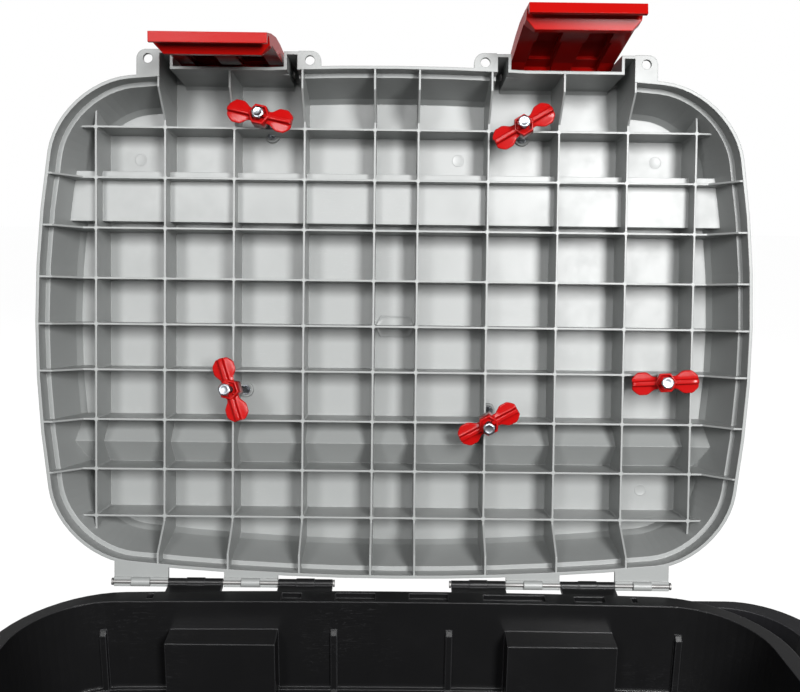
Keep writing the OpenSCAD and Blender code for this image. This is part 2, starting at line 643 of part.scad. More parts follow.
module lid() color([0.66, 0.67, 0.67]) on_lid() difference() {
    union() {
        level(lid_gap, lid_line(0), lid_skirt + lid_wall - lid_gap);
        dome_out();
        both_sides() {
            bay_solid();
            eye_tab(eye_x_in, -1, lid_side(eye_x_in + eye_tab_w / 2) - lid_wall, lid_gap);
            eye_tab(eye_x_out, 1, lid_side(eye_x_out + eye_tab_w / 2) - lid_wall, lid_gap);
            lid_knuckle(knuckle_0 + knuckle_pitch, knuckle_0 + 2 * knuckle_pitch - knuckle_gap);
            lid_knuckle(knuckle_0 + 3 * knuckle_pitch,
                        knuckle_0 + 4 * knuckle_pitch - knuckle_gap);
        }
    }
    difference() {
        union() {
            level(-1, lid_line(lid_wall), lid_skirt + 1);
            dome_in();
            both_sides() bay_hollow();
        }
        lid_ribs();
        flat_channel(lid_wall);
        vee_groove(lid_wall);
    }
    flat_channel(0);
    vee_groove(0);
    both_sides() {
        for (x = [eye_x_in, eye_x_out]) translate([x, -eye_y, -10]) cylinder(h = 20, r = eye_r);
        translate([0, hinge_y, 0]) rod_x(knuckle_0, far, hinge_pin_r + run_gap);
        translate([0, -pivot_y, pivot_z])
            rod_x(bay_in - lid_wall - 1, bay_out + lid_wall + 1, latch_pin_r + run_gap);
        // The ends of each lid knuckle are open below, so that the pin shows
        for (k = [1, 3], x = [knuckle_0 + k * knuckle_pitch - 1,
                              knuckle_0 + (k + 1) * knuckle_pitch - knuckle_gap - knuckle_bare])
            block([x, hinge_y - 20, -far], [x + knuckle_bare + 1, hinge_y + 20, -1.2]);
    }
    // Way for each bolt, past the ribs and out through the skin
    for (k = knobs) along_bolt(k) {
        cylinder(h = 2 * lid_h, r = bolt_r + 0.6);
        translate([0, 0, skin_z - ring_drop - 2]) cylinder(h = 6, r = ring_r + 0.6);
    }
}

// A latch, drawn with its pivot at the origin and its tip at -Z, out at -Y.
// Each point is how far out from, and how far down from, the pivot.
latch_outer = [[4, -6], [9, -3], [13, 8], [17, 35], [19.5, 75], [19, 115], [14, 155],
               [7.2, latch_len]];
latch_inner = [[-3.5, latch_len], [-3.5, latch_len - 5], [6, latch_len - 10],
               [7, latch_len - 18], [1, latch_len - 24], [-10, latch_len - 27.5],
               [-10, latch_len - 34.5], [3, latch_len - 42], [3, 40], [-3, 8], [-5, 3],
               [-5, -3], [-3, -6]];
module latch_profile(out_in) along_x(-latch_w / 2, latch_w / 2, [for (p = out_in) [-p[0], -p[1]]]);

module latch_body() difference() {
    latch_profile(concat(latch_outer, latch_inner));
    // Chamfered ends of the hook
    both_sides() translate([0, 0, -latch_len + 20]) linear_extrude(24)
        polygon([[latch_w / 2 + 1, 12], [latch_w / 2 + 1, -1], [latch_w / 2 - 11.5, 12]]);
    // Two recesses in the back of the latch, each with a ledge across it
    for (s = [-1, 1]) {
        along_x(s * 28 - 13, s * 28 + 13,
            [[20, -40], [-11, -40], [-15, -75], [-14.5, -115], [-10.5, -140], [20, -140]]);
        along_x(s * 28 - 16, s * 28 + 16, [[20, -16], [-7, -16], [-8, -100], [20, -100]]);
    }
    rod_x(-latch_w, latch_w, latch_pin_r + run_gap);
}
module latch(side, open) color([0.80, 0.09, 0.08]) on_lid()
    translate([side * latch_x, -pivot_y, pivot_z]) rotate([latch_shut - open, 0, 0])
        latch_body();

module latch_pin(side) color("silver") on_lid()
    translate([side * latch_x, -pivot_y, pivot_z]) {
        rod_x(-bay_w / 2 - lid_wall - 2, bay_w / 2 + lid_wall + 2, latch_pin_r);
        rod_x(-bay_w / 2 - lid_wall - 3.5, -bay_w / 2 - lid_wall - 0.3, latch_pin_r + 2);
        rod_x(bay_w / 2 + lid_wall + 0.3, bay_w / 2 + lid_wall + 3.5, latch_pin_r + 2);
    }

module bolt(k) color("silver") at_knob(k) {
    translate([0, 0, -bolt_drop]) cylinder(h = head_h, r = bolt_af / sqrt(3), $fn = 6);
    translate([0, 0, head_h - bolt_drop]) cylinder(h = lid_h + stud_len + bolt_drop - head_h, r = bolt_r);
}

// One wing, seen from the bolt's head: a neck that widens into a rounded leaf
function wing_line() =
    let (w = knob_w / 2, e = knob_len / 2,
         side = [[0, 7.5], [12, 7], [16, w - 4], [20, w - 1.2], [24, w], [28, w - 0.6],
                 [32, w - 3], [35.5, w - 6.5], [e, 4.5]])
    concat(side, [for (i = [len(side) - 1 : -1 : 0]) [side[i].x, -side[i].y]]);

// A two-winged knob: a six-sided hub with a collar round the bolt's head, and wings
// whose faces slope up to the web along their middle
module wing_knob(k) color([0.82, 0.10, 0.09]) at_knob(k) translate([0, 0, k[5]]) difference() {
    union() {
        translate([0, 0, 3]) cylinder(h = hub_h - 3, r = 13, $fn = 6);
        cylinder(h = 4, r = 11, $fn = 12);
        for (s = [0, 180]) rotate([0, 0, s]) {
            translate([0, 0, wing_z]) linear_extrude(wing_t) polygon(wing_line());
            hull() {
                translate([0, 0, wing_z]) linear_extrude(1) polygon(wing_line());
                block([6, -4, wing_z - 3], [knob_len / 2 - 1, 4, wing_z + 1]);
            }
            along_x(6, knob_len / 2,
                [[-3.6, wing_z - 1], [-2.2, 1], [2.2, 1], [3.6, wing_z - 1]]);
        }
    }
    translate([0, 0, -5]) cylinder(h = hub_h + 10, r = bolt_r + run_gap);
}

module bolt_ring(k) color("silver") at_knob(k) translate([0, 0, skin_z - ring_drop]) difference() {
    cylinder(h = 1.6, r = ring_r);
    translate([0, 0, -1]) cylinder(h = 4, r = bolt_r + run_gap);
}

tub();
axle();
hub_caps();
mirror([1, 0, 0]) hinge_pin();  // hinge_pin_left
hinge_pin();  // hinge_pin_right
mirror([0, 1, 0]) wheel_rim();  // wheel_rim_front
mirror([0, 1, 0]) tyre();  // tyre_front
wheel_rim();  // wheel_rim_back
tyre();  // tyre_back
handle_grip();
mirror([0, 1, 0]) handle_arm();  // handle_arm_front
handle_arm();  // handle_arm_back
handle_rivets();
lid();
latch_pin(-1);  // latch_pin_left
latch_pin(1);  // latch_pin_right
latch(-1, latch_left_open);  // latch_left
latch(1, latch_right_open);  // latch_right
bolt(knobs[0]);  // bolt_1
wing_knob(knobs[0]);  // wing_knob_1
bolt_ring(knobs[0]);  // bolt_ring_1
bolt(knobs[1]);  // bolt_2
wing_knob(knobs[1]);  // wing_knob_2
bolt_ring(knobs[1]);  // bolt_ring_2
bolt(knobs[2]);  // bolt_3
wing_knob(knobs[2]);  // wing_knob_3
bolt_ring(knobs[2]);  // bolt_ring_3
bolt(knobs[3]);  // bolt_4
wing_knob(knobs[3]);  // wing_knob_4
bolt_ring(knobs[3]);  // bolt_ring_4
bolt(knobs[4]);  // bolt_5
wing_knob(knobs[4]);  // wing_knob_5
bolt_ring(knobs[4]);  // bolt_ring_5
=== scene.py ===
# %% [markdown]
# # Rolling toolbox: looks
#
# The imported model is a deep black tub on two wheels with a ribbed grey lid turned
# back behind it. This script gives every solid of that model a procedural material,
# puts finer bolts and wing knobs in the place of their plain solids, adds the faint
# marks that a mould leaves on the lid, and lights the whole like a product
# photograph on white.
# Every length is in metres, in the model's own frame: X along the box, the hinges
# at +Y, Z up, and the origin on the floor under the middle of the tub.

# %% [markdown]
# ## Load the frame
#
# A helper reads a solid's box, which is printed further on beside each new knob's.

# %% Load the imported model
import math

import bmesh
import bpy
from mathutils import Matrix, Vector


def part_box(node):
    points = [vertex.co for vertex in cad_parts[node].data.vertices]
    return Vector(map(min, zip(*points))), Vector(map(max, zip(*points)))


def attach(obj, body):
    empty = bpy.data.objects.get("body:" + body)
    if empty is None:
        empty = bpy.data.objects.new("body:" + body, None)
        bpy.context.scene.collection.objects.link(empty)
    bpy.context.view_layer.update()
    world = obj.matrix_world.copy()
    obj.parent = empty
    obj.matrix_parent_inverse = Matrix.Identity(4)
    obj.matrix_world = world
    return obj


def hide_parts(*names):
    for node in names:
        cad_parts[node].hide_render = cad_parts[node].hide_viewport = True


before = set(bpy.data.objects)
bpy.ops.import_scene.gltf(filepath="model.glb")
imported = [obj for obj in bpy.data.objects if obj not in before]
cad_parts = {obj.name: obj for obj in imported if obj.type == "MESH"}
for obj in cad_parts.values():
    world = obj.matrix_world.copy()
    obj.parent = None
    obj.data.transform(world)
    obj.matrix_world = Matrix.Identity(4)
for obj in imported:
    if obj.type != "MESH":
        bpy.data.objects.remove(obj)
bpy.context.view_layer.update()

# %% [markdown]
# ## Camera
#
# The place, the lens and the three angles come from a least-squares fit of the
# hinge line, the lid's outline and its ribs to the photograph. The camera looks
# slightly down into the box from a little above the open lid's middle.

# %% Set the camera
SENSOR_WIDTH, LENS = 36.0, 43.246                  # mm
CAMERA_PLACE = (-0.00081, -0.70923, 1.05838)
CAMERA_TURN = (74.2264, -0.7113, -0.1792)          # degrees about X, Y and Z

scene = bpy.context.scene
camera_data = bpy.data.cameras.new("photo_camera")
camera_data.sensor_fit = "HORIZONTAL"
camera_data.sensor_width = SENSOR_WIDTH
camera_data.lens = LENS
camera_data.clip_start = 0.05
camera_data.clip_end = 60.0
camera = bpy.data.objects.new("photo_camera", camera_data)
camera.location = CAMERA_PLACE
camera.rotation_euler = [math.radians(angle) for angle in CAMERA_TURN]
scene.collection.objects.link(camera)
scene.camera = camera
scene.view_settings.view_transform = "Standard"
print("camera at", tuple(round(v, 3) for v in camera.location), "lens", camera_data.lens)

# %% [markdown]
# ## Helpers for node trees
#
# A material is a small tree of nodes. `Tree` places nodes from left to right and
# links them by socket name, so that each recipe below reads as a list of steps.

# %% Node helpers
NODE_STEP_X, NODE_STEP_Y, NODE_ROWS = 220, 140, 4      # spacing in the node editor


def colour_socket(sockets, name):
    """A Mix node has one socket of each kind under the same name; this is the colour's."""
    return next(s for s in sockets if s.name == name and s.type == "RGBA")


class Tree:
    """Adds nodes to a node tree and links them by name."""

    def __init__(self, tree):
        self.tree = tree
        self.count = 0

    def link(self, output, socket):
        self.tree.links.new(output, socket)

    def feed(self, socket, value):
        """A socket is linked, and anything else becomes the input's own value."""
        if isinstance(value, bpy.types.NodeSocket):
            self.link(value, socket)
        else:
            socket.default_value = value

    def node(self, kind, **settings):
        made = self.tree.nodes.new(kind)
        made.location = (NODE_STEP_X * self.count, -NODE_STEP_Y * (self.count % NODE_ROWS))
        self.count += 1
        inputs = settings.pop("inputs", {})
        for name, value in settings.items():
            setattr(made, name, value)
        for name, value in inputs.items():
            self.feed(made.inputs[name], value)
        return made

    def math(self, operation, a, b=0.0, clamp=False):
        made = self.node("ShaderNodeMath", operation=operation, use_clamp=clamp,
                         inputs={0: a, 1: b})
        return made.outputs[0]

    def mix(self, factor, a, b):
        """Two colours, each a socket or three numbers, mixed by a factor."""
        made = self.node("ShaderNodeMix", data_type="RGBA", inputs={"Factor": factor})
        for name, value in (("A", a), ("B", b)):
            whole = value if isinstance(value, bpy.types.NodeSocket) else (*value, 1.0)
            self.feed(colour_socket(made.inputs, name), whole)
        return colour_socket(made.outputs, "Result")

    def ramp(self, factor, low, high):
        made = self.node("ShaderNodeMapRange", clamp=True,
                         inputs={"Value": factor, "From Min": low, "From Max": high})
        return made.outputs["Result"]


def new_group(name, inputs, outputs):
    """A shader node group with named sockets: (name, type, default) for each input."""
    group = bpy.data.node_groups.new(name, "ShaderNodeTree")
    for label, kind, default in inputs:
        socket = group.interface.new_socket(label, in_out="INPUT", socket_type=kind)
        if default is not None:
            socket.default_value = default
    for label, kind in outputs:
        group.interface.new_socket(label, in_out="OUTPUT", socket_type=kind)
    tree = Tree(group)
    start = tree.node("NodeGroupInput")
    end = tree.node("NodeGroupOutput")
    return tree, start.outputs, end.inputs


FLOAT, VECTOR = "NodeSocketFloat", "NodeSocketVector"
print("node helpers ready")

# %% [markdown]
# ## Shared effects
#
# Three effects are used by several materials, so each is one node group:
#
# - *Soft edge* rounds edges with a bevel, and tells where they are, so that they
#   catch light and take a paler colour, painted there as wear and as painted
#   highlight. A real bevel on every rib would cost far more faces.
# - *Moulded grain* adds the slight orange peel of a moulded surface to that normal,
#   and gives values that also break up the roughness and the tone.
# - *Handling marks* gives thin scratches and dull smudges as masks.
#
# All three are noise in the object's own coordinates. An image would need each
# solid unwrapped, and would show its seams and repeats.

# %% Group: soft edge
def build_soft_edge():
    tree, given, result = new_group(
        "Soft edge", [("Radius", FLOAT, 0.001), ("Gain", FLOAT, 3.0)],
        [("Normal", VECTOR), ("Mask", FLOAT)])
    edge = tree.node("ShaderNodeBevel", samples=4, inputs={"Radius": given["Radius"]})
    flat = tree.node("ShaderNodeNewGeometry")
    dot = tree.node("ShaderNodeVectorMath", operation="DOT_PRODUCT",
                    inputs={0: edge.outputs["Normal"], 1: flat.outputs["Normal"]})
    turned = tree.math("SUBTRACT", 1.0, dot.outputs["Value"])
    mask = tree.math("MULTIPLY", turned, given["Gain"], clamp=True)
    tree.link(edge.outputs["Normal"], result["Normal"])
    tree.link(mask, result["Mask"])
    return tree.tree


SOFT_EDGE = build_soft_edge()
print("built", SOFT_EDGE.name)


# %% Group: moulded grain
def build_moulded_grain():
    tree, given, result = new_group(
        "Moulded grain",
        [("Scale", FLOAT, 900.0), ("Depth", FLOAT, 0.00002), ("Normal", VECTOR, None)],
        [("Normal", VECTOR), ("Grain", FLOAT), ("Mottle", FLOAT)])
    place = tree.node("ShaderNodeTexCoord").outputs["Object"]
    fine = tree.node("ShaderNodeTexNoise", inputs={
        "Vector": place, "Scale": given["Scale"], "Detail": 2.0, "Roughness": 0.6})
    slow = tree.node("ShaderNodeTexNoise", inputs={
        "Vector": place, "Scale": 9.0, "Detail": 4.0, "Roughness": 0.55})
    bump = tree.node("ShaderNodeBump", inputs={
        "Height": fine.outputs["Fac"], "Distance": given["Depth"], "Strength": 0.6,
        "Normal": given["Normal"]})
    tree.link(bump.outputs["Normal"], result["Normal"])
    tree.link(fine.outputs["Fac"], result["Grain"])
    tree.link(slow.outputs["Fac"], result["Mottle"])
    return tree.tree


MOULDED_GRAIN = build_moulded_grain()
print("built", MOULDED_GRAIN.name)


# %% Group: handling marks
SCRATCH_STRETCH = (1.0, 6.0, 11.0)     # the noise is drawn out along X into lines
SCRATCH_WIDTH = 0.012                  # how near its middle value the noise counts as a line
MIDDLE = 0.5


def build_handling_marks():
    tree, given, result = new_group(
        "Handling marks", [("Scale", FLOAT, 40.0), ("Seed", FLOAT, 0.0)],
        [("Scratches", FLOAT), ("Smudges", FLOAT)])
    place = tree.node("ShaderNodeTexCoord").outputs["Object"]
    moved = tree.node("ShaderNodeVectorMath", operation="ADD",
                      inputs={0: place, 1: given["Seed"]})
    stretched = tree.node("ShaderNodeVectorMath", operation="MULTIPLY",
                          inputs={0: moved.outputs[0], 1: SCRATCH_STRETCH})
    lines = tree.node("ShaderNodeTexNoise", inputs={
        "Vector": stretched.outputs[0], "Scale": given["Scale"], "Detail": 1.0})
    off_middle = tree.math("ABSOLUTE", tree.math("SUBTRACT", lines.outputs["Fac"], MIDDLE))
    scratches = tree.math("SUBTRACT", 1.0, tree.ramp(off_middle, 0.0, SCRATCH_WIDTH), clamp=True)
    where = tree.node("ShaderNodeTexNoise", inputs={
        "Vector": moved.outputs[0], "Scale": 7.0, "Detail": 2.0})
    some = tree.math("MULTIPLY", scratches, tree.ramp(where.outputs["Fac"], 0.52, 0.62))
    blur = tree.node("ShaderNodeTexNoise", inputs={
        "Vector": moved.outputs[0], "Scale": 16.0, "Detail": 4.0, "Roughness": 0.7})
    tree.link(some, result["Scratches"])
    tree.link(tree.ramp(blur.outputs["Fac"], 0.45, 0.75), result["Smudges"])
    return tree.tree


HANDLING_MARKS = build_handling_marks()
print("built", HANDLING_MARKS.name)

# %% [markdown]
# ## Moulded plastic
#
# The lid is a satin grey moulding, the tub a black one with a coarser skin, the
# latches and knobs are glossy red. They differ in numbers only, so one recipe makes
# them all: one Principled shader, whose colour, roughness and normal come from the
# shared groups, so that no surface is one flat tone. How strongly it reflects, the
# specular level, is the same all over a piece and stays on the shader itself.

# %% Recipe for moulded plastic
SMUDGE_ROUGHENS, GRAIN_ROUGHENS = 0.08, 0.06       # what each adds to the roughness
SCRATCH_SHARE = 0.4                                # scratches get this share of what the edges get, which is wear and painted highlight


def material(name):
    made = bpy.data.materials.new(name)
    made.use_nodes = True
    made.node_tree.nodes.clear()
    tree = Tree(made.node_tree)
    shader = tree.node("ShaderNodeBsdfPrincipled")
    out = tree.node("ShaderNodeOutputMaterial")
    tree.link(shader.outputs["BSDF"], out.inputs["Surface"])
    return made, tree, shader


def plastic(name, colour, wear_and_highlight_colour, rough, grain_scale, grain_depth, wear_and_highlight, mottle,
            edge_radius=0.0012, seed=0.0, specular=0.5):
    """Moulded plastic: mottled colour, paler edges as wear and painted highlight, grain, smudges
    and scratches.
    """
    made, tree, shader = material(name)
    edge = tree.node("ShaderNodeGroup", node_tree=SOFT_EDGE, inputs={"Radius": edge_radius})
    grain = tree.node("ShaderNodeGroup", node_tree=MOULDED_GRAIN, inputs={
        "Scale": grain_scale, "Depth": grain_depth, "Normal": edge.outputs["Normal"]})
    marks = tree.node("ShaderNodeGroup", node_tree=HANDLING_MARKS, inputs={"Seed": seed})
    darker = [c * (1 - mottle) for c in colour]
    paler = [min(1.0, c * (1 + mottle)) for c in colour]
    base = tree.mix(grain.outputs["Mottle"], darker, paler)
    # Edges are painted paler, partly as wear and partly as a painted highlight along each edge.
    worn_and_highlit = tree.mix(tree.math("MULTIPLY", edge.outputs["Mask"], wear_and_highlight), base, wear_and_highlight_colour)
    scratched = tree.mix(tree.math("MULTIPLY", marks.outputs["Scratches"], wear_and_highlight * SCRATCH_SHARE),
                         worn_and_highlit, wear_and_highlight_colour)
    grained = tree.math("ADD", tree.math("MULTIPLY", grain.outputs["Grain"], GRAIN_ROUGHENS),
                        rough - GRAIN_ROUGHENS)
    smudged = tree.math("MULTIPLY", marks.outputs["Smudges"], SMUDGE_ROUGHENS)
    tree.link(scratched, shader.inputs["Base Color"])
    tree.link(tree.math("ADD", smudged, grained), shader.inputs["Roughness"])
    tree.link(grain.outputs["Normal"], shader.inputs["Normal"])
    shader.inputs["Specular IOR Level"].default_value = specular
    return made


print("plastic recipe ready")

# %% Plastics and paint
# Each edge colour is painted on the edges as wear and as a painted highlight; scratches take it
# as wear.
LID = plastic("lid_plastic", colour=(0.235, 0.2435, 0.24), wear_and_highlight_colour=(0.40, 0.41, 0.40),
              rough=0.41, grain_scale=700.0, grain_depth=0.000012, wear_and_highlight=0.3, mottle=0.035,
              specular=0.56)
TUB = plastic("tub_plastic", colour=(0.0055, 0.0055, 0.0058), wear_and_highlight_colour=(0.10, 0.10, 0.105),
              rough=0.32, grain_scale=1300.0, grain_depth=0.00004, wear_and_highlight=0.35, mottle=0.2,
              edge_radius=0.002, seed=3.0, specular=0.25)
LATCH = plastic("latch_plastic", colour=(0.31, 0.003, 0.002), wear_and_highlight_colour=(0.54, 0.025, 0.012),
                rough=0.2, grain_scale=500.0, grain_depth=0.000008, wear_and_highlight=0.4, mottle=0.05,
                seed=5.0, specular=0.05)
KNOB = plastic("knob_plastic", colour=(0.34, 0.004, 0.004), wear_and_highlight_colour=(0.64, 0.06, 0.045),
               rough=0.18, grain_scale=600.0, grain_depth=0.00001, wear_and_highlight=0.6, mottle=0.08,
               edge_radius=0.0008, seed=7.0, specular=0.14)
HANDLE = plastic("handle_plastic", colour=(0.008, 0.008, 0.009), wear_and_highlight_colour=(0.09, 0.09, 0.095),
                 rough=0.5, grain_scale=1500.0, grain_depth=0.00004, wear_and_highlight=0.6, mottle=0.2,
                 edge_radius=0.002, seed=11.0, specular=0.2)
WHEEL = plastic("wheel_plastic", colour=(0.07, 0.072, 0.078), wear_and_highlight_colour=(0.16, 0.16, 0.17),
                rough=0.48, grain_scale=900.0, grain_depth=0.00003, wear_and_highlight=0.4, mottle=0.12,
                seed=13.0)
TYRE = plastic("tyre_rubber", colour=(0.014, 0.014, 0.014), wear_and_highlight_colour=(0.05, 0.05, 0.05),
               rough=0.75, grain_scale=1800.0, grain_depth=0.00008, wear_and_highlight=0.6, mottle=0.25,
               seed=17.0, specular=0.3)
ARM = plastic("arm_paint", colour=(0.02, 0.02, 0.022), wear_and_highlight_colour=(0.25, 0.25, 0.26),
              rough=0.3, grain_scale=600.0, grain_depth=0.00001, wear_and_highlight=0.4, mottle=0.1,
              edge_radius=0.0008, seed=19.0)
print("plastics and paint:", len(bpy.data.materials))

# %% [markdown]
# ## Plated steel
#
# Zinc-plated bolts, pins and rivets are pale, and their plating sets in small
# crystals that shine a little differently. Cells of a Voronoi texture make these,
# because noise alone would have no borders. Smudges dull some places.

# %% Recipe for plated steel, and the steels
SPANGLE_SCALE, SPANGLE_DARK = 420.0, 0.82          # crystals a metre, and their darkest tone
SMUDGE_DARK, SMUDGE_SHARE, SMUDGE_DULLS = 0.6, 0.3, 0.15


def metal(name, colour, rough, seed):
    """Plated steel: spangled tone, soft edges, fine grain and dull smudges."""
    made, tree, shader = material(name)
    edge = tree.node("ShaderNodeGroup", node_tree=SOFT_EDGE, inputs={"Radius": 0.0004})
    grain = tree.node("ShaderNodeGroup", node_tree=MOULDED_GRAIN, inputs={
        "Scale": 1500.0, "Depth": 0.000008, "Normal": edge.outputs["Normal"]})
    marks = tree.node("ShaderNodeGroup", node_tree=HANDLING_MARKS,
                      inputs={"Scale": 120.0, "Seed": seed})
    spangle = tree.node("ShaderNodeTexVoronoi", inputs={"Scale": SPANGLE_SCALE})
    tone = tree.mix(tree.ramp(spangle.outputs["Distance"], 0.1, 0.9),
                    colour, [c * SPANGLE_DARK for c in colour])
    dulled = tree.mix(tree.math("MULTIPLY", marks.outputs["Smudges"], SMUDGE_SHARE),
                      tone, [c * SMUDGE_DARK for c in colour])
    smudged = tree.math("MULTIPLY", marks.outputs["Smudges"], SMUDGE_DULLS)
    tree.link(dulled, shader.inputs["Base Color"])
    tree.link(tree.math("ADD", rough, smudged), shader.inputs["Roughness"])
    tree.link(grain.outputs["Normal"], shader.inputs["Normal"])
    shader.inputs["Metallic"].default_value = 1.0
    return made


STEEL = metal("bright_steel", (0.30, 0.295, 0.29), 0.55, seed=2.0)
BOLT = metal("bolt_steel", (0.30, 0.315, 0.34), 0.26, seed=4.0)
print("all materials:", len(bpy.data.materials))

# %% [markdown]
# ## Dress the solids
#
# Each node's object takes its material in its first slot; nothing is moved.

# %% Assign the materials
KNOB_NUMBERS = range(1, 6)
DRESS = [
    (TUB, ["tub"]), (LID, ["lid"]), (LATCH, ["latch_left", "latch_right"]),
    (KNOB, [f"wing_knob_{i}" for i in KNOB_NUMBERS]),
    (BOLT, [f"bolt_{i}" for i in KNOB_NUMBERS] + [f"bolt_ring_{i}" for i in KNOB_NUMBERS]),
    (STEEL, ["axle", "hub_caps", "hinge_pin_left", "hinge_pin_right", "latch_pin_left",
             "latch_pin_right", "handle_rivets"]),
    (HANDLE, ["handle_grip"]), (ARM, ["handle_arm_front", "handle_arm_back"]),
    (WHEEL, ["wheel_rim_front", "wheel_rim_back"]), (TYRE, ["tyre_front", "tyre_back"]),
]
for look, names in DRESS:
    for name in names:
        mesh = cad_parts[name].data
        mesh.materials.clear()
        mesh.materials.append(look)
print("dressed", sum(len(names) for _, names in DRESS), "nodes")

# %% [markdown]
# ## Places on the open lid
#
# The bolts and knobs are laid out as on the shut lid, in mm with Z from the rim, and
# then turned back with it about the hinge. The same numbers place the solids, so a
# piece made here lies exactly where its solid does.

# %% Frames of the lid and of each bolt
MM = 0.001
HINGE = Vector((0.0, 0.3055, 0.480))
LID_ANGLE = math.radians(-103.5)
SKIN = 92.0          # height of the lid's inner skin above the rim, mm
HEAD = -10.0         # height of the bolts' heads, mm

LID_FRAME = (Matrix.Translation(HINGE) @ Matrix.Rotation(LID_ANGLE, 4, "X")
             @ Matrix.Translation((0.0, -HINGE.y, 0.0)))
LID_MM = LID_FRAME @ Matrix.Scale(MM, 4)

# x and y on the skin, turn of the wings in degrees, shift of the head in x and y
BOLTS = [(-155.1, -232.7, 12.6, -5.5, -10.4), (156.9, -232.9, -30.7, -10.7, -3.2),
         (-185.9, 85.3, 70.8, -11.8, -8.3), (118.5, 108, -29.3, -7.4, 12.3),
         (333.5, 70, -4.1, -15.1, -6.2)]


def bolt_frame(x, y, turn, head_x, head_y):
    """From bolt coordinates in mm, Z along the bolt, to the open lid in metres."""
    lean_x = Matrix.Rotation(math.atan2(head_y, SKIN - HEAD), 4, "X")
    lean_y = Matrix.Rotation(-math.atan2(head_x, SKIN - HEAD), 4, "Y")
    return (LID_MM @ Matrix.Translation((x, y, SKIN))
            @ lean_y @ lean_x @ Matrix.Translation((0, 0, -SKIN))
            @ Matrix.Rotation(math.radians(turn), 4, "Z"))


FRAMES = [bolt_frame(*row) for row in BOLTS]
for number, place in enumerate(FRAMES, 1):
    tip = place @ Vector((0, 0, HEAD))
    print("bolt", number, "head at", [round(v, 4) for v in tip])

# %% [markdown]
# ## Meshes from rings of points
#
# A turned or moulded form is easily described as a stack of rings with the same
# number of points. `skin_rings` joins neighbouring rings with quads. A ring may be a
# circle, a hexagon or any outline, so one helper makes bolts and knobs alike.

# %% Ring helpers
ROUND = 24             # points in a ring
CORNER_OUT = 0.1547    # a hexagon's corners lie this share further out than its flats


def join_rings(bm, lower, upper):
    for i in range(len(lower)):
        j = (i + 1) % len(lower)
        bm.faces.new((lower[i], lower[j], upper[j], upper[i]))


def skin_rings(bm, rings, closed=True):
    """Joins each ring to the next, and closes both ends unless it is told not to."""
    rows = [[bm.verts.new(p) for p in ring] for ring in rings]
    for lower, upper in zip(rows, rows[1:]):
        join_rings(bm, lower, upper)
    if closed:
        bm.faces.new(list(reversed(rows[0])))
        bm.faces.new(rows[-1])
    return rows


def circle(r, z, count=ROUND):
    return [(r * math.cos(2 * math.pi * i / count), r * math.sin(2 * math.pi * i / count), z)
            for i in range(count)]


def hexagon(flat, z, drop=0.0):
    """A hexagon by its width across flats; its corners may lie further along Z."""
    points = []
    for i in range(ROUND):
        a = 2 * math.pi * i / ROUND
        from_flat = (a + math.pi / 6) % (math.pi / 3) - math.pi / 6
        from_corner = math.pi / 6 - abs(from_flat)
        r = flat / 2 / math.cos(from_corner)
        points.append((r * math.cos(a), r * math.sin(a),
                       z + drop * (r / (flat / 2) - 1) / CORNER_OUT))
    return points


print("ring helpers ready")

# %% [markdown]
# ## From a mesh to a finished piece
#
# Every new piece gets its place, its material, smooth shading with sharp corners
# kept, and the body that it rides on. One that does a solid's work more finely
# also hides the solid that it replaces.

# %% Finish a piece
def finish_mesh(name, bm, place, look, body, node, bevel=0.0, smooth_angle=35.0):
    """Makes a piece of a mesh; node is None where it replaces no solid."""
    bmesh.ops.recalc_face_normals(bm, faces=bm.faces)
    mesh = bpy.data.meshes.new(name)
    bm.to_mesh(mesh)
    bm.free()
    mesh.transform(place)
    mesh.materials.append(look)
    made = bpy.data.objects.new(name, mesh)
    scene.collection.objects.link(made)
    if bevel:
        edges = made.modifiers.new("rounded", "BEVEL")
        edges.width = bevel
        edges.segments = 2
        edges.limit_method = "ANGLE"
        edges.angle_limit = math.radians(smooth_angle)
        edges.use_clamp_overlap = True
    mesh.shade_smooth()
    mesh.set_sharp_from_angle(angle=math.radians(smooth_angle))
    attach(made, body)
    if node:
        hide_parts(node)
    return made


print("piece helper ready")

# %% [markdown]
# ## Threaded bolts
#
# The real bolts are plated M8 screws: the head's corners are chamfered off into a
# shallow dish, and the shank is threaded to its end. The solids have a plain head and
# shank. A true helix is made here: the shank's radius follows the angle as well as
# the height, so the crests climb round it.

# %% Bolts
PITCH, THREAD_DEPTH, THREAD_STEPS = 1.25, 0.6, 4   # the last is rings in one turn
SHANK_R, SHANK_END, BOLT_FLATS = 4.0, 109.5, 13.0
NECK = HEAD + 5.5                                  # the back of the head, which is 5.5 high
THREAD_START = NECK + 2.4


def shank_ring(z):
    points = []
    for i in range(ROUND):
        turn = (z / PITCH - i / ROUND) % 1.0
        groove = abs(turn - 0.5) * 2.0
        r = SHANK_R - THREAD_DEPTH * groove
        a = 2 * math.pi * i / ROUND
        points.append((r * math.cos(a), r * math.sin(a), z))
    return points


def bolt_mesh():
    """The dish, the chamfered head, a bare neck, the thread and its blunt end."""
    bm = bmesh.new()
    head = [circle(1.2, HEAD + 0.35), circle(3.9, HEAD + 0.25), circle(4.6, HEAD),
            circle(5.6, HEAD), hexagon(BOLT_FLATS, HEAD + 0.35, drop=0.75),
            hexagon(BOLT_FLATS, NECK - 0.2, drop=-0.3), circle(6.2, NECK),
            circle(SHANK_R, NECK), circle(SHANK_R, NECK + 2.0)]
    count = int((SHANK_END - 1.0 - THREAD_START) / PITCH * THREAD_STEPS)
    shank = [shank_ring(THREAD_START + i * PITCH / THREAD_STEPS) for i in range(count + 1)]
    skin_rings(bm, head + shank + [circle(3.0, SHANK_END)])
    return bm


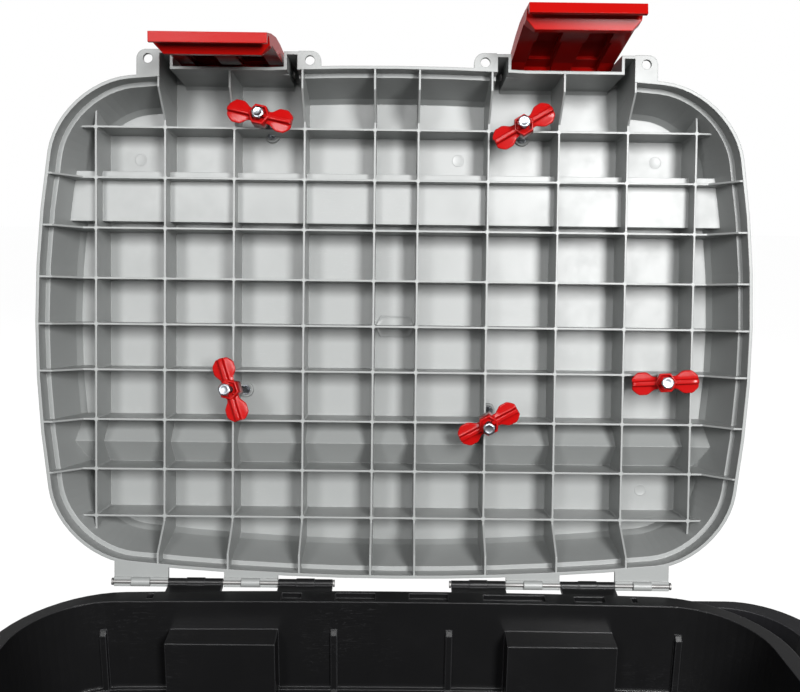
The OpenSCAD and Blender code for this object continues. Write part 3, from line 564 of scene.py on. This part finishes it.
for number, place in enumerate(FRAMES, 1):
    piece = finish_mesh(f"threaded_bolt_{number}", bolt_mesh(), place, BOLT,
                        f"wing_knob_{number}", f"bolt_{number}",
                        smooth_angle=25.0)
print("bolts:", len(piece.data.polygons), "faces each")

# %% [markdown]
# ## Wing knobs
#
# Each knob is a glossy red moulding: a hexagonal hub with a raised collar, and two
# flared wings with a web along their middle. The wings are lofted through
# cross-sections, as a mould maker would draw them, and every edge is rounded by a
# bevel, because a moulding has no sharp ones.

# %% Wing knobs
# Along a wing: distance from the bolt, half width, height of the web's crest
WING = [(5.0, 7.9, 1.3), (11.5, 7.7, 1.0), (14.0, 8.4, 1.0), (17.0, 10.7, 1.0), (20.0, 12.9, 1.0),
        (22.5, 13.8, 1.0), (30.5, 13.8, 1.0), (33.0, 12.4, 1.1), (36.0, 9.7, 1.3),
        (37.8, 7.8, 1.8), (38.5, 6.6, 3.0)]
# Down the hub's outside and into the collar's recess: width across flats, height
HUB = [(21.5, 21.0), (22.5, 20.2), (22.5, 5.0), (22.0, 3.6), (21.8, 0.5), (21.2, 0.0),
       (17.4, 0.0), (16.4, 5.4)]
BORE_R, BORE_START, BORE_END = 4.15, 5.6, 21.0
COLLARS = [-2, 8, 8, 8, 8]             # height of each knob's collar along its bolt


def wing_section(x, half, crest, side):
    """One cross-section: the web's crest, its foot, the leaf's edge and its back."""
    front = [(0.0, crest), (1.9, crest), (2.6, crest + 0.7), (3.2, 7.2), (4.6, 7.7),
             (half - 1.2, 8.3), (half, 9.3), (half - 0.9, 11.0), (4.6, 11.7), (2.5, 11.8),
             (0.0, 11.9)]
    around = front + [(-y, z) for y, z in reversed(front[1:-1])]
    return [(side * x, side * y, z) for y, z in around]


def knob_mesh():
    """Two wings, and a hub that is closed on itself through its bore."""
    bm = bmesh.new()
    for side in (1, -1):
        skin_rings(bm, [wing_section(x, half, crest, side) for x, half, crest in WING])
    hub = [hexagon(flat, z) for flat, z in HUB]
    rows = skin_rings(bm, [circle(BORE_R, BORE_END), *hub, circle(BORE_R, BORE_START)],
                      closed=False)
    join_rings(bm, rows[-1], rows[0])
    return bm


for number, (place, collar) in enumerate(zip(FRAMES, COLLARS), 1):
    piece = finish_mesh(f"winged_knob_{number}", knob_mesh(),
                        place @ Matrix.Translation((0, 0, collar)), KNOB,
                        f"wing_knob_{number}", f"wing_knob_{number}",
                        bevel=0.0008)
    solid_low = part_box(f"wing_knob_{number}")[0]
    piece_low = [min(v.co[axis] for v in piece.data.vertices) for axis in range(3)]
    print("knob", number, "lowest corner of the solid", [round(v, 3) for v in solid_low],
          "and of the piece", [round(v, 3) for v in piece_low])

# %% [markdown]
# ## Mould marks
#
# The pins that push a moulding out of its mould leave faint round marks. Four of them
# show on the lid's inner skin. Each is a disc so thin that it only breaks the light,
# made as a shallow dish with a raised lip, and it is sunk a little into the skin.
# A long eight-sided pad in the middle, where the plastic was shot in, is made alike.

# %% Ejector marks
MARKS = [(-320.0, -201.3), (77.1, -205.0), (324.7, -205.5), (314.6, 208.3)]
# Radius, and place against the skin: plus is sunk into it, minus stands proud of it
MARK_RINGS = [(7.5, 0.4), (7.5, -0.08), (7.1, -0.13), (6.5, -0.06), (1.0, -0.04)]
MARK_ROUND = 32        # points in a mark's ring


def add_mark(name, rings, x, y):
    """A piece of the lid's plastic on its skin, made from rings round the point x, y."""
    bm = bmesh.new()
    skin_rings(bm, rings)
    return finish_mesh(name, bm, LID_MM @ Matrix.Translation((x, y, 0.0)),
                       LID, "lid", None)


for number, (x, y) in enumerate(MARKS, 1):
    add_mark(f"ejector_mark_{number}",
             [circle(r, SKIN + z, MARK_ROUND) for r, z in MARK_RINGS], x, y)
print("ejector marks:", len(MARKS))

# %% Gate pad
PAD_X, PAD_Y = 0.3, 3.6
PAD_LONG, PAD_WIDE = 23.0, 13.5        # half its length and width
PAD_CUT_X, PAD_CUT_Y = 4.5, 9.0        # what each corner loses
PAD_RINGS = [(0.0, 0.4), (0.0, -0.1), (0.6, -0.4), (1.3, -0.15), (4.4, -0.15)]


def pad_ring(inset, z):
    """The pad's eight corners, moved in by an inset."""
    long, wide = PAD_LONG - inset, PAD_WIDE - inset
    corner = [(long, wide - PAD_CUT_Y), (long - PAD_CUT_X, wide)]
    half = corner + [(-x, y) for x, y in reversed(corner)]
    return [(x, y, z) for x, y in half + [(-x, -y) for x, y in half]]


piece = add_mark("gate_pad", [pad_ring(inset, SKIN + z) for inset, z in PAD_RINGS], PAD_X, PAD_Y)
print("gate pad:", len(piece.data.polygons), "faces")

# %% [markdown]
# ## Background
#
# The photograph stands on plain white. The world is white to the camera and two
# fifths as bright in reflections, so that metal shows it and black plastic stays
# black. As a light it is a faint cool grey.

# %% World
SKY_MIRRORED, SKY_LIGHT = 0.4, 0.09


def seen_directly(tree, mirrored_share):
    """One for the camera's own rays, and a share of it in a reflection or transmission."""
    path = tree.node("ShaderNodeLightPath")
    mirrored = tree.math("MAXIMUM", path.outputs["Is Glossy Ray"],
                         path.outputs["Is Transmission Ray"])
    return tree.math("MAXIMUM", path.outputs["Is Camera Ray"],
                     tree.math("MULTIPLY", mirrored, mirrored_share))


world = bpy.data.worlds.new("studio")
scene.world = world
world.use_nodes = True
world.node_tree.nodes.clear()
sky = Tree(world.node_tree)
seen = sky.node("ShaderNodeBackground", inputs={"Color": (1.0, 1.0, 1.0, 1.0), "Strength": 1.0})
lit = sky.node("ShaderNodeBackground", inputs={
    "Color": (0.95, 0.97, 1.0, 1.0), "Strength": SKY_LIGHT})
pick = sky.node("ShaderNodeMixShader", inputs={
    "Fac": seen_directly(sky, SKY_MIRRORED), 1: lit.outputs[0], 2: seen.outputs[0]})
sky_out = sky.node("ShaderNodeOutputWorld")
sky.link(pick.outputs[0], sky_out.inputs["Surface"])
print("world ready")

# %% [markdown]
# ## Floor
#
# A wide plain floor lies under the wheels. Seen directly it glows almost white and
# adds its own lit colour to that, so it melts into the background where light
# reaches it. In reflections it is only a quarter as bright.

# %% Floor
FLOOR_HALF, FLOOR_DROP = 6.0, 0.0005   # it lies a hair lower, so that no faces coincide
FLOOR_MIRRORED, FLOOR_GLOW = 0.25, 0.95

floor_mesh = bpy.data.meshes.new("floor")
floor_mesh.from_pydata([(-FLOOR_HALF, -FLOOR_HALF, 0), (FLOOR_HALF, -FLOOR_HALF, 0),
                        (FLOOR_HALF, FLOOR_HALF, 0), (-FLOOR_HALF, FLOOR_HALF, 0)],
                       [], [(0, 1, 2, 3)])
floor = bpy.data.objects.new("floor", floor_mesh)
floor.location = (0, 0, -FLOOR_DROP)
scene.collection.objects.link(floor)
floor_look, floor_tree, floor_shader = material("floor_look")
speck = floor_tree.node("ShaderNodeTexNoise", inputs={"Scale": 3.0, "Detail": 2.0})
floor_tree.link(floor_tree.mix(speck.outputs["Fac"], (0.06, 0.06, 0.06), (0.07, 0.07, 0.07)),
                floor_shader.inputs["Base Color"])
floor_shader.inputs["Roughness"].default_value = 0.9
glow = floor_tree.node("ShaderNodeEmission", inputs={
    "Strength": floor_tree.math("MULTIPLY", seen_directly(floor_tree, FLOOR_MIRRORED),
                                FLOOR_GLOW)})
both = floor_tree.node("ShaderNodeAddShader", inputs={
    0: floor_shader.outputs[0], 1: glow.outputs[0]})
floor_out = floor_look.node_tree.get_output_node("ALL")
floor_tree.link(both.outputs[0], floor_out.inputs["Surface"])
floor_mesh.materials.append(floor_look)
print("floor ready")

# %% [markdown]
# ## Lights
#
# Three soft boxes hang in front, above the camera. The one on the right makes the
# bright patches on the right half of the lid, and the weaker one on the left those on
# its left. Nothing shines from below, so the walls of the lid and the insides of the
# latches, which face down, stay dark. Two more boxes light the back for other views;
# they don't show in reflections, because they would glare on the tub's flat rim.

# %% Area lights
# Name, place, the point it looks at, width and height, watts
FRONT_BOXES = [
    ("right_box", (0.86, -1.95, 1.80), (0.1, 0.40, 0.80), (0.52, 0.95), 98.0),
    ("left_box", (-0.89, -1.95, 1.78), (-0.1, 0.40, 0.80), (0.42, 0.95), 30.0),
    ("front_box", (-0.15, -2.0, 2.15), (0.0, 0.40, 0.75), (1.0, 0.5), 20.0),
]
BACK_BOXES = [
    ("back_left_box", (-1.5, 2.5, 2.1), (0.0, 0.2, 0.6), (1.2, 1.0), 70.0),
    ("back_right_box", (1.9, 2.1, 1.7), (0.0, 0.2, 0.6), (1.0, 1.0), 43.0),
]


def area_light(name, place, target, size, power):
    data = bpy.data.lights.new(name, "AREA")
    data.shape = "RECTANGLE"
    data.size, data.size_y = size
    data.energy = power
    lamp = bpy.data.objects.new(name, data)
    lamp.location = place
    aim = Vector(target) - Vector(place)
    lamp.rotation_euler = aim.to_track_quat("-Z", "Y").to_euler()
    scene.collection.objects.link(lamp)
    return lamp


for row in FRONT_BOXES:
    area_light(*row)
for row in BACK_BOXES:
    area_light(*row).visible_glossy = False
